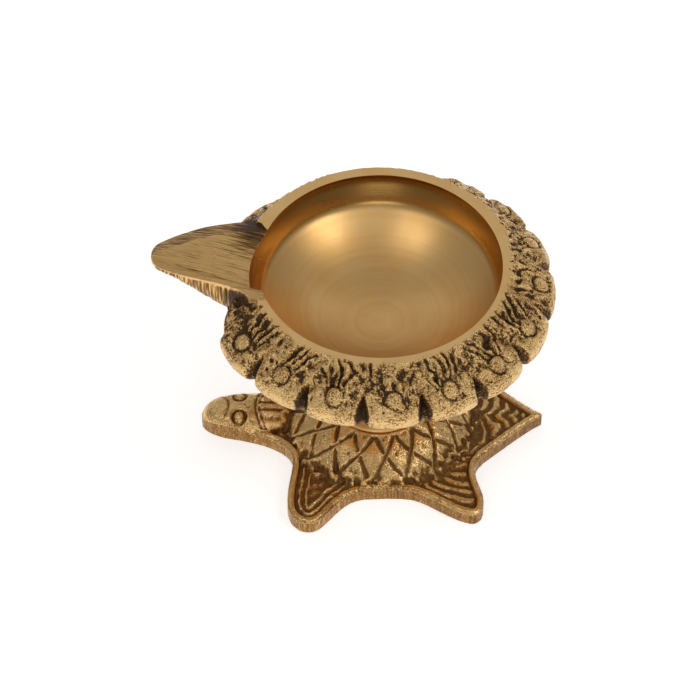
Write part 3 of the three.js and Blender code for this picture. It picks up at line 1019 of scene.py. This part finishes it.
def tortoise_relief(x, y, edge, place):
    """Height of the casting's top over its plan."""
    rho = shell_share(x, y)
    plate = PLATE_TOP - 1.0 * smoothstep(1.6, 2.2, edge) + feather(x, y, edge, place)
    shell = shell_height(rho) + lattice(x, y, place) * smoothstep(1.02, 0.95, rho) * (rho > 0.5)
    scribble = 0.9 * noise(place, 1.3, 61) - 0.8 * np.abs(noise(place, 2.0, 62))
    shell = shell + scribble * bell(rho - 0.99, 0.08)
    top = np.maximum(plate, shell)
    top = np.where(x < -20, np.maximum(top, head_height(x, y)), top)
    rough = 0.09 * noise(place, 1.3, 63) + 0.06 * noise(place, 0.7, 64)
    rough = rough - 0.20 * pits(place, 0.95, 0.13, 65)
    seat = smoothstep(SEAT_RADIUS + 0.3, SEAT_RADIUS - 0.3, np.hypot(x, y))
    top = (top + rough) * (1 - seat) + SEAT * seat
    rounded = 0.9 * (1 - np.clip(edge / 1.1, 0, 1)) ** 2
    return np.minimum(top, SEAT) - rounded


def tortoise_casting():
    """The tortoise in one closed grid: over the top, down the side and back up inside."""
    outline = tortoise_outline(900)
    angle = np.arctan2(outline[:, 1], outline[:, 0])
    ray = np.stack([np.cos(angle), np.sin(angle)], -1)
    share = np.concatenate([np.linspace(0, 0.93, 80), np.linspace(0.938, 1, 10)])[:, None, None]
    start = ray * (SEAT_RADIUS - 0.8)
    plan = start + (outline - start) * share
    x, y = plan[..., 0], plan[..., 1]
    edge = distance_inside(plan, outline)
    place = spatial(x, y)
    top = tortoise_relief(x, y, edge, place)
    dips = hollowness(top, 3) / 0.24 + hollowness(top, 9) / 2.4
    dips = dips * smoothstep(0.3, 1.6, edge)
    recess = smoothstep(1.2, 1.9, edge) * smoothstep(0.98, 1.06, shell_share(x, y))
    on_head = (x < -30) & (np.abs(y) < 7)
    darkening = dips + np.where(on_head, 0.0, 0.22) * recess + 0.16 * smoothstep(0, 40, x)
    darkening = darkening + np.where(on_head, 0.12, 0.36) * smoothstep(-0.8, 0.5, noise(place, 7.0, 66))
    darkening = darkening + 0.34 * bell(np.hypot(x + 38.6, y + 3.2), 3.2) * on_head
    over = spatial(x, y, top)
    wall_heights = np.array([0.93, 0.8, 0.62, 0.45, 0.3, 0.15, 0.06])[:, None] * top[-1:]
    wall = outline + ray * (0.05 * noise(place[-1], 1.0, 71))[:, None]
    under = [(outline - 0.25 * ray, 0.0), (outline - 0.9 * ray, 0.0)]
    hollow = np.stack([24.0 * np.cos(angle), 22.4 * np.sin(angle)], -1)
    under += [((outline + hollow) / 2, 0.0)]
    under += [(hollow * part, height) for part, height in (
        (1, 0.0), (1, 3.0), (0.985, 4.3), (0.94, 5.6), (0.86, 7.0), (0.76, 8.4), (0.66, 9.4),
        (0.55, CEILING))]
    under += [(ray * reach, height) for reach, height in (
        (8, CEILING), (HOLE_RADIUS, CEILING), (HOLE_RADIUS, 11.5), (HOLE_RADIUS, SEAT), (7, SEAT))]
    walls = spatial(wall[:, 0], wall[:, 1], wall_heights)
    grid = np.concatenate([over, walls, [spatial(*xy.T, height) for xy, height in under]])
    streak = noise(spatial(*outline.T) * 2.2, 1.0, 72)
    darker = 0.60 + 0.20 * smoothstep(-30, 40, outline[:, 0]) + 0.10 * streak
    side_grime = np.repeat(darker[None], len(walls), 0)
    inner_grime = np.full((len(under), len(outline)), 0.5)
    inner_grime[-3:] = 0.1
    side = np.zeros(grid.shape[:2])
    side[len(over):len(over) + len(walls)] = 1
    piece = wrapped_grid("tortoise_casting", grid,
                         cast_finish("cast_tortoise", darkness=0.42, filed=True),
                         np.concatenate([darkening, side_grime, inner_grime]), loop=True)
    mark(piece, "side", side)
    return piece


# ------------------------------------------------------------------ trees of geometry nodes


class Tree:
    """A geometry node tree with named inputs, on a modifier of its own object."""

    def __init__(self, name, inputs):
        self.group = bpy.data.node_groups.new(name, "GeometryNodeTree")
        self.values = {}
        for label, (kind, value) in inputs.items():
            socket = self.group.interface.new_socket(label, in_out="INPUT", socket_type=kind)
            self.values[socket.identifier] = value
        self.group.interface.new_socket(
            "Geometry", in_out="OUTPUT", socket_type="NodeSocketGeometry")
        self.start = self.group.nodes.new("NodeGroupInput")
        self.end = self.group.nodes.new("NodeGroupOutput")

    def asked(self, label):
        return self.start.outputs[label]

    def add(self, kind, settings, inputs, output=0):
        return add_node(self.group, kind, settings, inputs).outputs[output]

    def maths(self, operation, *inputs):
        return self.add("ShaderNodeMath", {"operation": operation}, dict(enumerate(inputs)))

    def moved(self, geometry, **change):
        change = {key.title(): value for key, value in change.items()}
        return self.add("GeometryNodeTransform", {}, {0: geometry, **change})

    def join(self, *geometries):
        node = self.group.nodes.new("GeometryNodeJoinGeometry")
        for geometry in geometries:
            self.group.links.new(geometry, node.inputs[0])
        return node.outputs[0]

    def build(self, name, geometry, material):
        real = self.add("GeometryNodeRealizeInstances", {}, {0: geometry})
        painted = self.add("GeometryNodeSetMaterial", {}, {0: real, "Material": material})
        self.group.links.new(painted, self.end.inputs[0])
        piece = in_scene(name, bpy.data.meshes.new(name))
        modifier = piece.modifiers.new(name, "NODES")
        modifier.node_group = self.group
        for identifier, value in self.values.items():
            modifier[identifier] = value
        return keep_plain(piece)


# ------------------------------------------------------------------ operators


# Where each light stands, its size and its power.
LIGHTS = {
    "right_softbox": ((0.68, -0.37, 0.91), (0.36, 0.36), 1.6),
    "left_softbox": ((-0.42, -0.42, 1.04), (0.36, 0.36), 1.05),
    "back_softbox": ((0.0, 0.90, 0.95), (2.4, 1.0), 2.0),
    "front_softbox": ((0.25, -0.75, 1.10), (0.80, 0.50), 0.45),
    "low_front_panel": ((0.0, -1.15, 0.42), (0.60, 0.25), 0.7),
}
LIT_POINT = Vector((0, 0, 0.04))
WORLD_STRENGTH = 0.32
FLOOR_REACH = 3
LENS = 151.8
SENSOR_WIDTH = 36
CAMERA_DISTANCE = 0.8
CAMERA_ELEVATION = math.radians(49.75)
CAMERA_TARGET = Vector((AXIS.x - 7.93, 0, 32.16)) * MM


class DIYA_OT_stage(bpy.types.Operator):
    """The pale floor, the soft lights and the camera"""

    bl_idname = "diya.stage"
    bl_label = "Stage"

    def execute(self, context):
        scene = context.scene
        self.add_floor()
        self.add_world(scene)
        for name, (place, size, power) in LIGHTS.items():
            self.add_light(name, place, size, power)
        self.add_camera(scene)
        scene.view_settings.view_transform = "Standard"
        return {"FINISHED"}

    def add_floor(self):
        points = FLOOR_REACH * np.array([[-1, -1, 0], [1, -1, 0], [1, 1, 0], [-1, 1, 0]], float)
        floor = new_piece("studio_floor", points, [[0, 1, 2, 3]], floor_finish())

    def add_world(self, scene):
        world = bpy.data.worlds.new("studio")
        world.use_nodes = True
        background = world.node_tree.nodes["Background"]
        background.inputs["Color"].default_value = (1, 1, 1, 1)
        background.inputs["Strength"].default_value = WORLD_STRENGTH
        scene.world = world

    def add_light(self, name, place, size, power):
        lamp = bpy.data.lights.new(name, "AREA")
        lamp.shape = "RECTANGLE"
        lamp.size, lamp.size_y = size
        lamp.energy = power
        light = in_scene(name, lamp)
        light.location = place
        light.rotation_euler = (LIT_POINT - Vector(place)).to_track_quat("-Z", "Y").to_euler()

    def add_camera(self, scene):
        lens = bpy.data.cameras.new("camera")
        lens.sensor_width = SENSOR_WIDTH
        lens.lens = LENS
        camera = in_scene("camera", lens)
        down = CAMERA_ELEVATION
        away = Vector((0, -math.cos(down), math.sin(down)))
        camera.location = CAMERA_TARGET + CAMERA_DISTANCE * away
        camera.rotation_euler = (math.pi / 2 - down, 0, 0)
        scene.camera = camera


class DIYA_OT_bowl(bpy.types.Operator):
    """The bowl casting with its spout, ornament and turned inside"""

    bl_idname = "diya.bowl"
    bl_label = "Bowl"

    def execute(self, context):
        piece = bowl_casting()
        sort_finishes(piece)
        hand_over(piece, LAMP_BODY, "bowl_brass", "bowl", sharp=40)
        return {"FINISHED"}


class DIYA_OT_rosettes(bpy.types.Operator):
    """The low button inside the ring of every lobe"""

    bl_idname = "diya.rosettes"
    bl_label = "Rosettes"

    def execute(self, context):
        size = sizes()
        last = size.lobes // 2
        tree = Tree("rosettes", {
            "Ornament": ("NodeSocketObject", bpy.data.objects["bowl_casting"]),
            "Radius": ("NodeSocketFloat", ROSETTE_RADIUS * MM),
            "Lobes": ("NodeSocketInt", size.lobes),
            "First": ("NodeSocketFloat", -last * size.lobe_pitch + BOWL_TURN),
            "Pitch": ("NodeSocketFloat", size.lobe_pitch),
            "Lean": ("NodeSocketFloat", math.radians(33)),
            "Seed": ("NodeSocketInt", 4),
        })
        piece = tree.build("rosettes", self.spread(tree), cast_finish("cast_rosettes"))
        hand_over(piece, LAMP_BODY, "bowl_brass")
        return {"FINISHED"}

    def button(self, tree):
        """A flat dome with a small nipple, both closed."""
        dome, nipple = (
            tree.add("GeometryNodeMeshUVSphere", {}, {
                "Segments": segments, "Rings": rings, "Radius": radius * MM})
            for segments, rings, radius in ((28, 14, 1.75), (16, 10, 0.55)))
        dome = tree.moved(dome, scale=(1.0, 1.0, 0.20))
        nipple = tree.moved(nipple, scale=(1.0, 1.0, 0.5), translation=(0, 0, 0.30 * MM))
        return tree.join(dome, nipple)

    def spread(self, tree):
        """One button on every lobe, dropped on to the casting below it."""
        points = tree.add("GeometryNodePoints", {}, {"Count": tree.asked("Lobes")})
        index = tree.add("GeometryNodeInputIndex", {}, {})
        angle = tree.maths("MULTIPLY_ADD", index, tree.asked("Pitch"), tree.asked("First"))
        radius = tree.asked("Radius")
        x = tree.maths("MULTIPLY_ADD", tree.maths("COSINE", angle), radius, AXIS.x * MM)
        y = tree.maths("MULTIPLY", tree.maths("SINE", angle), radius)
        above = tree.add("ShaderNodeCombineXYZ", {}, {"X": x, "Y": y, "Z": (RIM + 10) * MM})
        casting = tree.add("GeometryNodeObjectInfo", {}, {"Object": tree.asked("Ornament")},
                           "Geometry")
        landing = tree.add("GeometryNodeRaycast", {"data_type": "FLOAT"}, {
            "Target Geometry": casting, "Source Position": above, "Ray Direction": (0, 0, -1),
            "Ray Length": 1.0}, "Hit Position")
        placed = tree.add("GeometryNodeSetPosition", {}, {0: points, "Position": landing})
        lean = tree.add("ShaderNodeCombineXYZ", {}, {"Y": tree.asked("Lean"), "Z": angle})
        uneven = tree.add("FunctionNodeRandomValue", {"data_type": "FLOAT"}, {
            2: 0.92, 3: 1.05, "Seed": tree.asked("Seed")}, 1)
        return tree.add("GeometryNodeInstanceOnPoints", {}, {
            0: placed, "Instance": self.button(tree), "Rotation": lean, "Scale": uneven})


class DIYA_OT_stem(bpy.types.Operator):
    """The turned stem"""

    bl_idname = "diya.stem"
    bl_label = "Stem"

    def execute(self, context):
        low, high = STEM_LOW.z, STEM_HIGH.z
        foot_to_collar = [
            (3.3, 0), (13.6, 0), (14.0, 0.4), (14.0, 1.1), (13.2, 1.9), (11.8, 2.5), (9.6, 3.2),
            (8.2, 4.2), (7.2, 5.2), (6.4, 6.2), (6.3, 7.2), (6.9, 7.5), (6.9, 8.0), (7.6, 8.6),
            (8.8, 9.8), (9.3, 11.3), (8.8, 12.8), (7.6, 14.0), (6.9, 14.6), (6.9, 15.1),
            (6.1, 15.5), (5.8, 17.4), (6.3, 19.2), (7.6, 20.6), (9.0, 21.4)]
        outside = [(radius, low + rise) for radius, rise in foot_to_collar]
        outside += [(9.0, high - 0.2), (8.8, high), (3.3, high), (3.3, low)]
        piece = turned("stem", outside, turned_finish("turned_stem", roughness=0.30), 160, 0.35,
                       loop=True, fillet=0.25)
        hand_over(piece, LAMP_BODY, "stem_brass", "stem")
        return {"FINISHED"}


class DIYA_OT_tortoise(bpy.types.Operator):
    """The tortoise casting"""

    bl_idname = "diya.tortoise"
    bl_label = "Tortoise"

    def execute(self, context):
        hand_over(tortoise_casting(), BASE_BODY, "tortoise_brass", "tortoise", sharp=50)
        return {"FINISHED"}


class DIYA_OT_fasteners(bpy.types.Operator):
    """The threaded stud, the washer and the nut under the shell"""

    bl_idname = "diya.fasteners"
    bl_label = "Fasteners"

    def execute(self, context):
        plain = turned_finish("fastener_brass", roughness=0.34)
        self.add_stud(plain)
        self.add_washer(plain)
        self.add_nut(plain)
        return {"FINISHED"}

    def add_stud(self, material):
        pitch = sizes().thread_pitch
        length = (STUD_HIGH.z - STUD_LOW.z) * MM
        radius = (STUD_HIGH.x - STUD_LOW.x) / 2 * MM
        tree = Tree("stud", {
            "Radius": ("NodeSocketFloat", radius),
            "Pitch": ("NodeSocketFloat", pitch),
            "Length": ("NodeSocketFloat", length),
        })
        turns = tree.maths("DIVIDE", tree.asked("Length"), tree.asked("Pitch"))
        inner = tree.maths("SUBTRACT", tree.asked("Radius"), 0.45 * MM)
        helix = tree.add("GeometryNodeCurveSpiral", {}, {
            "Resolution": 24, "Rotations": turns, "Start Radius": inner, "End Radius": inner,
            "Height": tree.asked("Length")})
        tooth = tree.add("GeometryNodeCurvePrimitiveCircle", {"mode": "RADIUS"}, {
            "Resolution": 4, "Radius": 0.43 * MM})
        thread = tree.add("GeometryNodeCurveToMesh", {}, {0: helix, 1: tooth, "Fill Caps": True})
        core = tree.add("GeometryNodeMeshCylinder", {}, {
            "Vertices": 40, "Radius": inner, "Depth": length})
        core = tree.moved(core, translation=(0, 0, length / 2))
        foot = (AXIS.x * MM, AXIS.y * MM, STUD_LOW.z * MM)
        both = tree.moved(tree.join(core, thread), translation=foot)
        piece = tree.build("stud", both, material)
        hand_over(piece, LAMP_BODY, "fastener_brass", "stud", sharp=30)

    def add_washer(self, material):
        low, high, out = WASHER_LOW.z, WASHER_HIGH.z, (WASHER_HIGH.x - WASHER_LOW.x) / 2
        outline = [(3.3, low), (out - 0.15, low), (out, low + 0.2), (out, high - 0.2),
                   (out - 0.15, high), (3.3, high), (3.3, low)]
        piece = turned("washer", outline, material, 96, 0.2, loop=True, fillet=0.05)
        hand_over(piece, LAMP_BODY, "fastener_brass", "washer", sharp=30)

    def add_nut(self, material):
        low, high = NUT_LOW.z, NUT_HIGH.z
        flats = (NUT_HIGH.x - NUT_LOW.x) / 2
        angle = round_angles(192)[None, :]
        hexagon = flats / np.cos((angle + math.pi / 6) % (math.pi / 3) - math.pi / 6)
        steps = np.linspace(low, high, 25)[:, None]
        chamfer = flats + 0.25 + 1.7 * np.minimum(steps - low, high - steps)
        outside = np.minimum(hexagon, chamfer)
        face = np.linspace(3.4, flats + 0.25, 6)[:, None] + 0 * angle
        bore = 3.05 + 0.16 * np.abs(((steps[::-1] - low) * MM / sizes().thread_pitch) % 1 - 0.5)
        radius = np.concatenate([face, outside[1:-1], face[::-1], bore[1:-1] + 0 * angle])
        height = np.concatenate([
            low + 0 * face, steps[1:-1] + 0 * angle, high + 0 * face,
            steps[::-1][1:-1] + 0 * angle])
        piece = wrapped_grid("nut", polar(radius, angle, height), material,
                             np.full(height.shape, 0.1), loop=True)
        hand_over(piece, LAMP_BODY, "fastener_brass", "nut", sharp=25)


class DIYA_PT_panel(bpy.types.Panel):
    """The lamp's pieces and sizes"""

    bl_label = "Brass Diya"
    bl_idname = "DIYA_PT_panel"
    bl_space_type = "VIEW_3D"
    bl_region_type = "UI"
    bl_category = "Diya"

    def draw(self, context):
        for group in (context.scene.diya_sizes, context.scene.diya_colours):
            for name in group.__annotations__:
                self.layout.prop(group, name)
        for operator in OPERATORS:
            self.layout.operator(operator.bl_idname)


OPERATORS = (DIYA_OT_stage, DIYA_OT_bowl, DIYA_OT_rosettes, DIYA_OT_stem, DIYA_OT_tortoise,
             DIYA_OT_fasteners)
CLASSES = (DiyaSizes, DiyaColours, *OPERATORS, DIYA_PT_panel)


def register():
    for kind in CLASSES:
        bpy.utils.register_class(kind)
    bpy.types.Scene.diya_sizes = bpy.props.PointerProperty(type=DiyaSizes)
    bpy.types.Scene.diya_colours = bpy.props.PointerProperty(type=DiyaColours)


def unregister():
    del bpy.types.Scene.diya_colours
    del bpy.types.Scene.diya_sizes
    for kind in reversed(CLASSES):
        bpy.utils.unregister_class(kind)


def main():
    register()
    bpy.ops.diya.stage()
    bpy.ops.diya.tortoise()
    bpy.ops.diya.stem()
    bpy.ops.diya.bowl()
    bpy.ops.diya.rosettes()
    bpy.ops.diya.fasteners()


if __name__ == "__main__":
    main()
